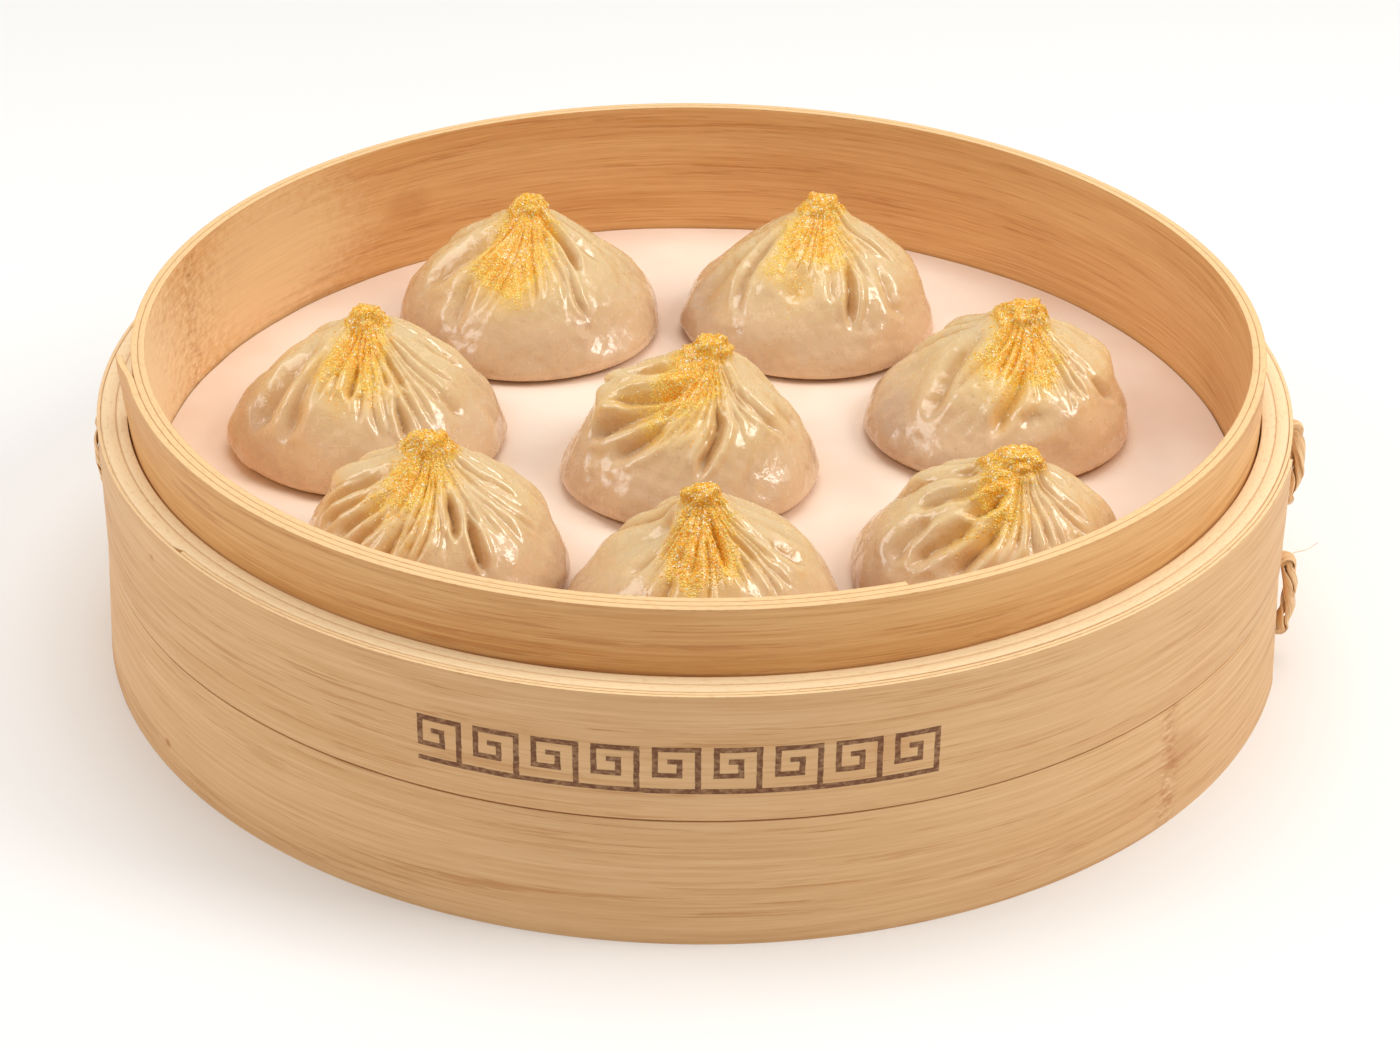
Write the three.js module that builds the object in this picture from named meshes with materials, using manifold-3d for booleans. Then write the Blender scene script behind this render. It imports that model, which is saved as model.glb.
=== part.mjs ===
// One tier of a bamboo steamer with eight xiaolongbao on its paper liner.
// Millimetres, +Z up. The origin is the middle of the footprint, on the surface that the tier stands on.
import * as THREE from "three";
import { mergeVertices } from "three/addons/utils/BufferGeometryUtils.js";
import Module from "manifold-3d";

// Driving dimensions of the steamer tier
const RIM_HEIGHT = 60.6; // top of the inner hoop, the socket for the tier above
const LEDGE_HEIGHT = 48.2; // top of the outer bands
const SEAM_HEIGHT = 23.9; // joint between the upper and the lower band
const BAND_RADIUS = 113; // outer face of the upper band
const BAND_FLARE = 1.2; // how far the lower band spreads towards its foot
const HOOP_RADIUS = 106.8; // outer face of the inner hoop at its outer end
const CLEARANCE = 0.3; // gap between two pieces that lie on each other

// Bamboo strips: thickness, gap between two turns, number of turns, bearing of the outer end in degrees, and
// which way the strip runs inwards from there, 1 anticlockwise and -1 clockwise
const STEP_DEGREES = 6;
const HOOP_STRIP = { thickness: 1.05, gap: 0.25, turns: 2.28, end: 190, turning: 1 };
const BAND_STRIP = { thickness: 0.55, gap: 0.2, turns: 1.35, end: 344, turning: -1 };
const HOOP_FOOT = 14.5; // bottom of the inner hoop, above the socket for the tier below

// Two thick laths bent to full rings between the inner hoop and the outer bands; their tops are the ledge
const INNER_LATH = 1.7;
const OUTER_LATH = 2;

// Floor of the tier: slats on ribs, and the ring that carries them
const FLOOR_RADIUS = 101.9; // room inside the innermost turn of the inner hoop
const SLAT_COUNT = 13;
const SLAT_PITCH = 15.5;
const SLAT_WIDTH = 13;
const SLAT_TOP = 31.2;
const SLAT_THICKNESS = 2.5;
const RING_WIDTH = 5;
const RIB_HEIGHT = 4.4;
const RIB_WIDTH = 9;
const RIB_PLACES = [-52, 0, 52];
const LINER_THICKNESS = 0.6;

// Twisted cane lashings: bearing in degrees, heights of the two holes, how far the rope bows out, and the
// radius of the band that it comes out of
const LASHINGS = [
  { name: "lashing_left", bearing: 181, top: 38, bottom: 25.4, bow: 2.3, reach: 113 },
  { name: "lashing_right_upper", bearing: 356, top: 42.6, bottom: 27.2, bow: 2.7, reach: 113 },
  { name: "lashing_right_lower", bearing: 349, top: 21.6, bottom: 6.6, bow: 2.6, reach: 113.4 },
  { name: "lashing_back", bearing: 88, top: 38, bottom: 25.4, bow: 2.3, reach: 113 },
];
const STRAND_RADIUS = 0.85;
const STRAND_OFFSET = 0.75; // of each of the two strands from the middle of the rope
const STRAND_TWISTS = 1.5;
const STRAND_STEPS = 13;
const STRAND_TUCK = 1.4; // how deep its ends go into the band
const HOLE_RADIUS = 2.3;
const DRILL_LENGTH = 12;

// A xiaolongbao: half its width, its height and the sizes that all of them share
const SKIN_RADIUS = 26;
const SKIN_HEIGHT = 29;
const PLEAT_DEPTH = 2.5;
const PLEAT_FOOT = 0.14; // share of the height where the longest pleats run out
const PLEAT_RUN = 0.32; // share of the height over which a pleat reaches its full depth
const PLEAT_FADE = 0.68; // how much of its depth a pleat loses towards the knot
const RIDGE_SHARE = 0.4; // of the pleat's depth, outside the body of the dumpling
const PLEAT_CROWDING = 0.4; // how much narrower the pleats are at the bearing where they crowd
const SWIRL_FOOT = 0.25;
const SWIRL_POWER = 1.3;
const LEAN_POWER = 1.4;
const TIP_RISE = 0.9; // how far the folds of the knot stand over its creases
const TIP_DIMPLE = 0.94; // height share of the middle of the knot
const GOLD_FLAKES = 8; // on each dumpling, the largest ones
const FLAKE_SIZE = 0.8;
const FLAKE_ROW = 7; // lowest row of the outline with gold on it, counted from the foot
const FLAKE_ROWS = 4;

// Broad lumps of the filling under the skin: waves round the dumpling, share of the radius, twist upwards
const LUMPS = [
  { waves: 2, size: 0.022, twist: 0 },
  { waves: 3, size: 0.026, twist: 0 },
  { waves: 5, size: 0.014, twist: 2 },
];

// Streams of the repeatable draws, one for each thing that is uneven from piece to piece
const STREAM = { width: 1, lump: 3, foot: 4, depth: 5, tip: 6, column: 7, row: 8, size: 9, turn: 10 };

// Outline from the foot to the knot: share of the radius, share of the height
const OUTLINE = [
  [0.93, 0],
  [0.99, 0.035],
  [1, 0.1],
  [0.94, 0.225],
  [0.83, 0.375],
  [0.67, 0.55],
  [0.475, 0.69],
  [0.3, 0.795],
  [0.19, 0.87],
  [0.14, 0.93],
  [0.115, 0.985],
];

// Each dumpling: place, width and height against the shared ones, lean of its knot, number of pleats, the
// bearing in degrees where they crowd, their swirl and depth. Each of its bulges is a bearing, a share of
// the height, how far it spreads in degrees and in share of the height, and how far it stands out.
const DUMPLINGS = [
  {
    x: -34.3, y: 52, wide: 1.02, tall: 1.02, lean: [0, 0],
    pleats: 18, crowd: 262, swirl: 0.55, deep: 1,
    bulges: [[182, 0.28, 32, 0.22, 2.4], [32, 0.62, 35, 0.2, -2.8]],
  },
  {
    x: 22.7, y: 53.4, wide: 0.995, tall: 1.02, lean: [2.4, 0.6],
    pleats: 15, crowd: 270, swirl: 0.4, deep: 0.75,
    bulges: [[8, 0.5, 35, 0.2, 1.8], [150, 0.6, 40, 0.2, -1.5]],
  },
  {
    x: -62.4, y: 3.4, wide: 1.01, tall: 0.98, lean: [-0.2, -1.5],
    pleats: 18, crowd: 285, swirl: 0.4, deep: 1,
    bulges: [[188, 0.2, 35, 0.2, 2], [8, 0.45, 40, 0.3, -1.2]],
  },
  {
    x: -1.4, y: -9.4, wide: 0.955, tall: 1, lean: [4.2, -1.2],
    pleats: 16, crowd: 235, swirl: 0.6, deep: 1.25,
    bulges: [[178, 0.66, 28, 0.14, 5], [8, 0.65, 35, 0.18, -2.2]],
  },
  {
    x: 58.2, y: 10.4, wide: 1, tall: 0.96, lean: [4.3, -2],
    pleats: 17, crowd: 300, swirl: 0.5, deep: 1,
    bulges: [[183, 0.5, 40, 0.2, -3], [20, 0.55, 30, 0.2, 1.6]],
  },
  {
    x: -47.6, y: -48.6, wide: 0.955, tall: 0.97, lean: [1.2, 0.8],
    pleats: 18, crowd: 270, swirl: 0.5, deep: 1.15,
    bulges: [[160, 0.65, 25, 0.16, 2.4]],
  },
  {
    x: 2.6, y: -63.8, wide: 0.95, tall: 0.98, lean: [-1.3, -2.2],
    pleats: 16, crowd: 270, swirl: 0.35, deep: 0.9,
    bulges: [[185, 0.66, 40, 0.13, -6], [188, 0.47, 30, 0.12, -1.5], [20, 0.75, 30, 0.12, -2]],
  },
  {
    x: 52.8, y: -48.6, wide: 0.965, tall: 0.97, lean: [3.4, -3],
    pleats: 16, crowd: 320, swirl: 0.6, deep: 1.1,
    bulges: [[158, 0.72, 28, 0.14, 3.2]],
  },
];
DUMPLINGS.forEach((dumpling, i) => {
  dumpling.seed = i + 1;
});

const BAMBOO = { color: 0xdcb27e, roughness: 0.55, metalness: 0 };
const BAMBOO_INSIDE = { color: 0xd39a58, roughness: 0.55, metalness: 0 };
const CANE = { color: 0xb98654, roughness: 0.7, metalness: 0 };
const PAPER = { color: 0xf2dccb, roughness: 0.9, metalness: 0 };
const SKIN = { color: 0xd3b083, roughness: 0.3, metalness: 0 };

const wasm = await Module();
wasm.setup();
const tier = new THREE.Group();
const radians = THREE.MathUtils.degToRad;

function add(name, geometry, finish) {
  const mesh = new THREE.Mesh(geometry, new THREE.MeshStandardMaterial(finish));
  mesh.name = name;
  tier.add(mesh);
  return mesh;
}

// A repeatable number from 0 to 1: the n-th draw of a stream for a seed
function draw(seed, stream, n = 0) {
  const wave = Math.sin(seed * 12.9898 + (100 * stream + n) * 78.233) * 43758.5453;
  return wave - Math.floor(wave);
}

// A repeatable factor for sizes that vary by hand, 1 on average
function uneven(seed, stream, n) {
  return 0.6 + 0.8 * draw(seed, stream, n);
}

function smooth(low, high, value) {
  return THREE.MathUtils.smoothstep(value, low, high);
}

function toSolid(geometry) {
  const bare = geometry.clone();
  bare.deleteAttribute("normal");
  bare.deleteAttribute("uv");
  const merged = mergeVertices(bare);
  const vertProperties = merged.attributes.position.array;
  const triVerts = new Uint32Array(merged.index.array);
  return new wasm.Manifold(new wasm.Mesh({ numProp: 3, vertProperties, triVerts }));
}

function toGeometry(solid) {
  const mesh = solid.getMesh();
  const geometry = new THREE.BufferGeometry();
  geometry.setAttribute("position", new THREE.BufferAttribute(mesh.vertProperties, 3));
  geometry.setIndex(new THREE.BufferAttribute(mesh.triVerts, 1));
  return geometry;
}

// A strip wound on itself: from its outer end inwards, each turn one pitch nearer the middle
function woundStrip(strip, outerRadius, bottom, top) {
  const pitch = strip.thickness + strip.gap;
  const steps = Math.round((strip.turns * 360) / STEP_DEGREES);
  const outer = [];
  const inner = [];
  for (let i = 0; i <= steps; i += 1) {
    const turned = i * STEP_DEGREES;
    const bearing = radians(strip.end + strip.turning * turned);
    const radius = outerRadius - (pitch * turned) / 360;
    const way = new THREE.Vector2(Math.cos(bearing), Math.sin(bearing));
    outer.push(way.clone().multiplyScalar(radius));
    inner.unshift(way.multiplyScalar(radius - strip.thickness));
  }
  const options = { depth: top - bottom, bevelEnabled: false };
  return new THREE.ExtrudeGeometry(new THREE.Shape([...outer, ...inner]), options).translate(0, 0, bottom);
}

// Spreads a band outwards towards its foot
function flare(geometry, top, amount) {
  const place = geometry.attributes.position;
  for (let i = 0; i < place.count; i += 1) {
    const radius = Math.hypot(place.getX(i), place.getY(i));
    const grown = 1 + (amount * (1 - place.getZ(i) / top)) / radius;
    place.setXY(i, place.getX(i) * grown, place.getY(i) * grown);
  }
  return geometry;
}

// Cuts the two holes of each lashing that falls on a band
function drillForLashings(geometry, bottom, top) {
  let solid = toSolid(geometry);
  for (const lashing of LASHINGS) {
    for (const height of [lashing.top, lashing.bottom]) {
      if (height < bottom || height > top) continue;
      const drill = new THREE.CylinderGeometry(HOLE_RADIUS, HOLE_RADIUS, DRILL_LENGTH, 8);
      drill.rotateZ(Math.PI / 2).translate(BAND_RADIUS, 0, height).rotateZ(radians(lashing.bearing));
      solid = solid.subtract(toSolid(drill));
    }
  }
  return toGeometry(solid);
}

function ring(outerRadius, width, bottom, top) {
  const corners = [
    [outerRadius - width, bottom],
    [outerRadius, bottom],
    [outerRadius, top],
    [outerRadius - width, top],
    [outerRadius - width, bottom],
  ];
  const profile = corners.map(([radius, height]) => new THREE.Vector2(radius, height));
  return new THREE.LatheGeometry(profile, 360 / STEP_DEGREES).rotateX(Math.PI / 2);
}

function hoops() {
  add("inner_hoop", woundStrip(HOOP_STRIP, HOOP_RADIUS, HOOP_FOOT, RIM_HEIGHT), BAMBOO_INSIDE);
  const bandDepth = (BAND_STRIP.thickness + BAND_STRIP.gap) * BAND_STRIP.turns + BAND_STRIP.thickness;
  const outerLath = BAND_RADIUS - bandDepth - CLEARANCE;
  const innerLath = outerLath - OUTER_LATH - CLEARANCE;
  add("lath_outer", ring(outerLath, OUTER_LATH, 0, LEDGE_HEIGHT), BAMBOO);
  add("lath_inner", ring(innerLath, INNER_LATH, 0, LEDGE_HEIGHT), BAMBOO);
  const upper = woundStrip(BAND_STRIP, BAND_RADIUS, SEAM_HEIGHT + CLEARANCE, LEDGE_HEIGHT);
  add("upper_band", drillForLashings(upper, SEAM_HEIGHT, LEDGE_HEIGHT), BAMBOO);
  const lower = flare(woundStrip(BAND_STRIP, BAND_RADIUS, 0, SEAM_HEIGHT), SEAM_HEIGHT, BAND_FLARE);
  add("lower_band", drillForLashings(lower, 0, SEAM_HEIGHT), BAMBOO);
}

// A slat whose ends follow the round floor
function slat(middle) {
  const near = middle - SLAT_WIDTH / 2;
  const far = middle + SLAT_WIDTH / 2;
  const end = (y) => Math.sqrt(FLOOR_RADIUS ** 2 - y ** 2);
  const rows = [near, middle, far];
  const right = rows.map((y) => new THREE.Vector2(end(y), y));
  const left = rows.map((y) => new THREE.Vector2(-end(y), y)).reverse();
  const options = { depth: SLAT_THICKNESS, bevelEnabled: false };
  const outline = new THREE.Shape([...right, ...left]);
  return new THREE.ExtrudeGeometry(outline, options).translate(0, 0, SLAT_TOP - SLAT_THICKNESS);
}

// A rib of split cane, flat side up under the slats
function rib(place, top) {
  const section = new THREE.Shape();
  section.moveTo(-RIB_WIDTH / 2, 0);
  section.absellipse(0, 0, RIB_WIDTH / 2, RIB_HEIGHT, Math.PI, 2 * Math.PI, false, 0);
  const free = FLOOR_RADIUS - RING_WIDTH - CLEARANCE;
  const length = 2 * Math.sqrt(free ** 2 - (Math.abs(place) + RIB_WIDTH / 2) ** 2);
  const bar = new THREE.ExtrudeGeometry(section, { depth: length, bevelEnabled: false, curveSegments: 5 });
  return bar.translate(0, 0, -length / 2).rotateX(Math.PI / 2).translate(place, 0, top);
}

function floor() {
  const carried = SLAT_TOP - SLAT_THICKNESS - CLEARANCE;
  add("floor_ring", ring(FLOOR_RADIUS, RING_WIDTH, carried - RIB_HEIGHT, carried), BAMBOO);
  RIB_PLACES.forEach((place, i) => add(`rib_${i + 1}`, rib(place, carried), BAMBOO));
  for (let i = 0; i < SLAT_COUNT; i += 1) {
    const middle = (i - (SLAT_COUNT - 1) / 2) * SLAT_PITCH;
    add(`slat_${String(i + 1).padStart(2, "0")}`, slat(middle), BAMBOO);
  }
  const disc = new THREE.CylinderGeometry(FLOOR_RADIUS, FLOOR_RADIUS, LINER_THICKNESS, 360 / STEP_DEGREES);
  const liner = disc.rotateX(Math.PI / 2).translate(0, 0, SLAT_TOP + CLEARANCE + LINER_THICKNESS / 2);
  add("paper_liner", liner, PAPER);
}

// The bowed middle line of a lashing, from its upper hole to its lower one
function lashingLine(lashing) {
  const inside = lashing.reach - STRAND_TUCK;
  const out = lashing.reach + STRAND_RADIUS + STRAND_OFFSET + CLEARANCE;
  const bowed = lashing.reach + lashing.bow;
  const drop = lashing.top - lashing.bottom;
  const stops = [[inside, 0], [out, 0.02], [bowed, 0.3], [bowed, 0.7], [out, 0.98], [inside, 1]];
  const points = stops.map(([radius, share]) => new THREE.Vector3(radius, 0, lashing.top - share * drop));
  return new THREE.CatmullRomCurve3(points);
}

// One of a lashing's two strands, which wind round each other half a turn apart
function strand(line, half) {
  const points = [];
  for (let i = 0; i <= STRAND_STEPS; i += 1) {
    const along = i / STRAND_STEPS;
    const centre = line.getPointAt(along);
    const side = new THREE.Vector3(0, 1, 0);
    const proud = new THREE.Vector3().crossVectors(side, line.getTangentAt(along));
    const turn = half + along * STRAND_TWISTS * 2 * Math.PI;
    centre.addScaledVector(side, Math.cos(turn) * STRAND_OFFSET);
    centre.addScaledVector(proud, Math.sin(turn) * STRAND_OFFSET);
    points.push(centre);
  }
  const section = new THREE.Shape();
  section.absarc(0, 0, STRAND_RADIUS, 0, 2 * Math.PI, false);
  const extrudePath = new THREE.CatmullRomCurve3(points);
  const options = { steps: STRAND_STEPS, curveSegments: 2, bevelEnabled: false, extrudePath };
  return toSolid(new THREE.ExtrudeGeometry(section, options));
}

function lashingRope(lashing) {
  const line = lashingLine(lashing);
  const rope = strand(line, 0).add(strand(line, Math.PI));
  return toGeometry(rope).rotateZ(radians(lashing.bearing));
}

function lashings() {
  for (const lashing of LASHINGS) add(lashing.name, lashingRope(lashing), CANE);
}

// Bearings of the creases between a dumpling's pleats, uneven as folded by hand
function creases(dumpling) {
  const { seed, pleats } = dumpling;
  const widths = [];
  for (let k = 0; k < pleats; k += 1) {
    const crowding = PLEAT_CROWDING * Math.cos((2 * Math.PI * k) / pleats);
    widths.push(uneven(seed, STREAM.width, k) * (1 - crowding));
  }
  const round = (2 * Math.PI) / widths.reduce((sum, width) => sum + width, 0);
  const bearings = [radians(dumpling.crowd) - (round * widths[0]) / 2];
  for (const width of widths) bearings.push(bearings[bearings.length - 1] + round * width);
  return bearings;
}

// How far the pleats stand out at a share of the height, 0 to 1
function pleatShare(height, foot) {
  return smooth(foot, foot + PLEAT_RUN, height) * (1 - PLEAT_FADE * smooth(0.6, 0.92, height));
}

function lumps(dumpling, bearing, height) {
  let sum = 0;
  for (const { waves, size, twist } of LUMPS) {
    const phase = 2 * Math.PI * draw(dumpling.seed, STREAM.lump, waves);
    sum += size * Math.cos(waves * bearing + phase + twist * height);
  }
  return sum;
}

// How far the skin bulges at a bearing and a share of the height, from its bulges' middles and spreads
function bulging(dumpling, bearing, height) {
  let sum = 0;
  for (const [middle, level, spread, rise, size] of dumpling.bulges) {
    const away = Math.cos(bearing - radians(middle)) - 1;
    sum += size * Math.exp((2 * away) / radians(spread) ** 2 - ((height - level) / rise) ** 2);
  }
  return sum;
}

// A point of the skin from its bearing, its shares of the radius and the height, and the fold there
function skinPoint(dumpling, bearing, share, height, fold) {
  const turned = bearing + dumpling.swirl * smooth(SWIRL_FOOT, 1, height) ** SWIRL_POWER;
  const round = SKIN_RADIUS * dumpling.wide * share * (1 + lumps(dumpling, bearing, height)) + fold;
  const out = round + (share ? bulging(dumpling, turned, height) : 0);
  const leaned = height ** LEAN_POWER;
  const x = dumpling.x + out * Math.cos(turned) + dumpling.lean[0] * leaned;
  const y = dumpling.y + out * Math.sin(turned) + dumpling.lean[1] * leaned;
  const base = SLAT_TOP + LINER_THICKNESS + 2 * CLEARANCE;
  return new THREE.Vector3(x, y, base + SKIN_HEIGHT * dumpling.tall * height);
}

// Two columns of facets for each pleat, one along its crease and one along its ridge. The columns run
// clockwise and their faces are turned round, so that the facets' diagonals follow the swirl.
function dumplingSkin(dumpling) {
  const { seed, pleats } = dumpling;
  const columns = 2 * pleats;
  const bearings = creases(dumpling);
  const rows = [[0, 0], ...OUTLINE, [0, TIP_DIMPLE]];
  const profile = rows.map(([share, height]) => new THREE.Vector2(share, height));
  const geometry = new THREE.LatheGeometry(profile, columns);
  const place = geometry.attributes.position;
  for (let i = 0; i < place.count; i += 1) {
    const column = (columns - Math.floor(i / rows.length)) % columns;
    const [share, height] = rows[i % rows.length];
    const pleat = Math.floor(column / 2);
    const ridge = column % 2;
    const bearing = ridge ? (bearings[pleat] + bearings[pleat + 1]) / 2 : bearings[pleat];
    const foot = PLEAT_FOOT + 0.2 * draw(seed, STREAM.foot, column);
    const deep = PLEAT_DEPTH * dumpling.deep * uneven(seed, STREAM.depth, column);
    const proud = ridge ? RIDGE_SHARE : RIDGE_SHARE - 1;
    const fold = share ? proud * deep * pleatShare(height, foot) : 0;
    const point = skinPoint(dumpling, bearing, share, height, fold);
    if (share && height > TIP_DIMPLE) point.z -= TIP_RISE * draw(seed, STREAM.tip, column);
    place.setXYZ(i, point.x, point.y, point.z);
  }
  const corners = geometry.index.array;
  for (let i = 0; i < corners.length; i += 3) {
    [corners[i], corners[i + 1]] = [corners[i + 1], corners[i]];
  }
  return geometry;
}

// Flakes of gold leaf that stand out of the skin round the knot, each on a corner of a facet
function goldFlakes(dumpling, skin) {
  const { seed, pleats } = dumpling;
  const rows = OUTLINE.length + 2;
  const flakes = [];
  for (let k = 0; k < GOLD_FLAKES; k += 1) {
    const round = (k + 0.8 * draw(seed, STREAM.column, k)) / GOLD_FLAKES;
    const column = Math.floor(2 * pleats * round);
    const row = FLAKE_ROW + Math.floor(FLAKE_ROWS * draw(seed, STREAM.row, k));
    const size = FLAKE_SIZE * (1 + 0.5 * draw(seed, STREAM.size, k));
    const flake = new THREE.TetrahedronGeometry(size).rotateX(2 * Math.PI * draw(seed, STREAM.turn, k));
    const corner = new THREE.Vector3().fromBufferAttribute(skin.attributes.position, column * rows + row);
    flakes.push(flake.translate(corner.x, corner.y, corner.z));
  }
  return flakes;
}

function dumplings() {
  DUMPLINGS.forEach((dumpling, i) => {
    const skin = dumplingSkin(dumpling);
    let solid = toSolid(skin);
    for (const flake of goldFlakes(dumpling, skin)) solid = solid.add(toSolid(flake));
    add(`dumpling_${i + 1}`, toGeometry(solid), SKIN);
  });
}

hoops();
floor();
lashings();
dumplings();

// The origin goes to the middle of the footprint, at the foot of the lower band
const whole = new THREE.Box3().setFromObject(tier, true);
const centre = whole.getCenter(new THREE.Vector3());
tier.position.set(-centre.x, -centre.y, -whole.min.z);

export default tier;
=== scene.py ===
import math

import bpy
import numpy as np
from mathutils import Matrix, Vector


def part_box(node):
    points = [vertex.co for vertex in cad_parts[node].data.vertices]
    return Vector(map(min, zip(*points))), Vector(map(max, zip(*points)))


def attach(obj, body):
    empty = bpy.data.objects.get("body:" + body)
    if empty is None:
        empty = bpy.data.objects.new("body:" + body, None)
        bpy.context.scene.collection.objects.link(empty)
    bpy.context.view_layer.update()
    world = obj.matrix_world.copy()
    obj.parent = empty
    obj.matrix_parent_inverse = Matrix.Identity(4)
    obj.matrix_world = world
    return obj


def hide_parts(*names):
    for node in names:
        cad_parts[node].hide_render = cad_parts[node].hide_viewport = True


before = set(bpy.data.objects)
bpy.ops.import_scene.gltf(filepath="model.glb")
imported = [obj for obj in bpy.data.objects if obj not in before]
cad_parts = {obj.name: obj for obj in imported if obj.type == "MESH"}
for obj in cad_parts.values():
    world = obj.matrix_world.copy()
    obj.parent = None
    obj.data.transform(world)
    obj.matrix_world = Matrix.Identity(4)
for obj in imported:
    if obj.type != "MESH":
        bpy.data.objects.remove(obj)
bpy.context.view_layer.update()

MM = 0.001
TURN = 2 * math.pi

# The tier: its middle and its heights come from the frame
LOWEST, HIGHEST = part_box("lath_outer")
MIDDLE = (LOWEST + HIGHEST) / 2
LEDGE = HIGHEST.z
LATH_OUTER_RADIUS = (HIGHEST.x - LOWEST.x) / 2
LATH_INNER_RADIUS = (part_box("lath_inner")[1].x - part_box("lath_inner")[0].x) / 2
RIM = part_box("inner_hoop")[1].z
HOOP_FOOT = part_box("inner_hoop")[0].z
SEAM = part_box("lower_band")[1].z
BAND_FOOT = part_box("upper_band")[0].z
LINER_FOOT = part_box("paper_liner")[0].z
LINER_RADIUS = (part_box("paper_liner")[1].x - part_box("paper_liner")[0].x) / 2
DUMPLING_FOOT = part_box("dumpling_1")[0].z

# Bamboo strips as they are cut and wound: outer radius, thickness, gap between turns, how many turns, the
# bearing of the outer end in degrees, the way round. A lath's gap undoes its thickness, so it is a ring.
HOOP = dict(outer=106.8 * MM, thickness=1.27 * MM, gap=0.03 * MM, turns=2.28, end=190, turning=1)
BAND = dict(outer=113 * MM, thickness=0.68 * MM, gap=0.07 * MM, turns=1.35, end=344, turning=-1)
OUTER_LATH = dict(outer=LATH_OUTER_RADIUS, thickness=2 * MM, gap=-2 * MM, turns=0.999, end=61, turning=1)
INNER_LATH = dict(outer=LATH_INNER_RADIUS, thickness=1.7 * MM, gap=-1.7 * MM, turns=0.999, end=118,
                  turning=1)
STRIP_STEP = 2.6 * MM
LATH_ROW = 8 * MM
LATH_EDGE = 0.05 * MM
BAND_FLARE = 1.2 * MM

# The hoop's outer end: how far it has sprung away, over how many degrees, and its rounded upper corner
SPRUNG = 1.5 * MM
SPRUNG_OVER = 6
END_CORNER = 3 * MM
CORNER_REACH = 6 * MM

# Room between the laths and their neighbours
BAND_ROOM = 0.06 * MM
LATH_ROOM = 0.02 * MM
HOOP_ROOM = 0.3 * MM

# The slatted floor
SLATS = 13
RIBS = 3
FLOOR_RING_RADIUS = 99 * MM

# The paper: room to the hoop, thickness, cockles in the sheet and along its edge
PAPER_EDGE_ROOM = 0.35 * MM
PAPER_THICKNESS = 0.45 * MM
PAPER_COCKLES = 0.12 * MM
EDGE_COCKLES = 0.1 * MM

# Lashings: bearing in degrees, then in millimetres heights of the two holes, bow and radius of the band
LASHINGS = [
    ("lashing_left", 181, 38, 25.4, 2.3, 113),
    ("lashing_right_upper", 356, 42.6, 27.2, 2.7, 113),
    ("lashing_right_lower", 349, 21.6, 6.6, 2.6, 113.4),
    ("lashing_back", 88, 38, 25.4, 2.3, 113),
]
HOLE_RADIUS = 2.3 * MM
DRILL_LENGTH = 12 * MM
STRANDS = (1.35 * MM, 1.1 * MM, 0.8 * MM)
FIBRES = 5
FIBRE_HALF = 0.09 * MM
FIBRE_THICKNESS = 0.1 * MM

# A dumpling: outline from the foot to the knot as shares of its radius and height
SKIN_RADIUS = 26 * MM
SKIN_HEIGHT = 29 * MM
OUTLINE = [
    (0.93, 0), (0.99, 0.035), (1, 0.1), (0.94, 0.225), (0.83, 0.375), (0.67, 0.55),
    (0.475, 0.69), (0.3, 0.795), (0.185, 0.87), (0.13, 0.93), (0.085, 0.985),
]
TIP_DIMPLE = 0.985
PLEAT_DEPTH = 2.5 * MM
PLEAT_FOOT = 0.14
PLEAT_RUN = 0.32
PLEAT_FADE = 0.68
RIDGE_SHARE = 0.4
PLEAT_CROWDING = 0.4
FINE_SLANT_LEVEL = 0.62
LIP_SHARE = 0.28
CREASE_STEPS = 8
LUMPS = [(2, 0.022, 0), (3, 0.026, 0), (5, 0.014, 2)]
STREAM = {"width": 1, "lump": 3, "foot": 4, "depth": 5, "tip": 6}
AROUND = 320
UPWARDS = 128
SKIN_DENTS = 0.42 * MM
SKIN_GRAIN = 0.06 * MM
KNOT_CRUMPLE = 0.42 * MM

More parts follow.
